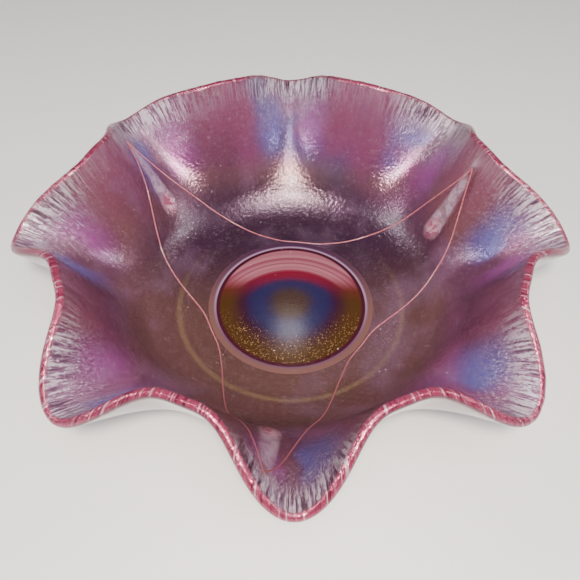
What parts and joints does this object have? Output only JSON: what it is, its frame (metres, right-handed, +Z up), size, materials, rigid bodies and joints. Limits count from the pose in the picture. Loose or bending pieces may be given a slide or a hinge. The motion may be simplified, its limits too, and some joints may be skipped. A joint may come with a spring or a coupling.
{
  "type": "crimped glass bowl",
  "caption": "Footed glass bowl with a ruffled, crimped rim, a collar ring under the floor, a wide open inside for fruit or display, and splayed toes to stand on.",
  "frame": {"origin": "on the table under the middle of the bowl, level with the soles of the feet", "axes": "+Z up along the bowl's axis, +Y towards the back, +X to the right; one foot and one rim lobe face -Y"},
  "size_m": [0.2666, 0.2666, 0.0836],
  "materials": {
    "rose_glass": "pressed rose-pink glass with a fire-polished skin and an iridescent lustre inside"
  },
  "bodies": {
    "root": {"bowl": "rose_glass", "collar_ring": "rose_glass", "front_foot": "rose_glass", "left_foot": "rose_glass", "right_foot": "rose_glass"}
  },
  "joints": []
}
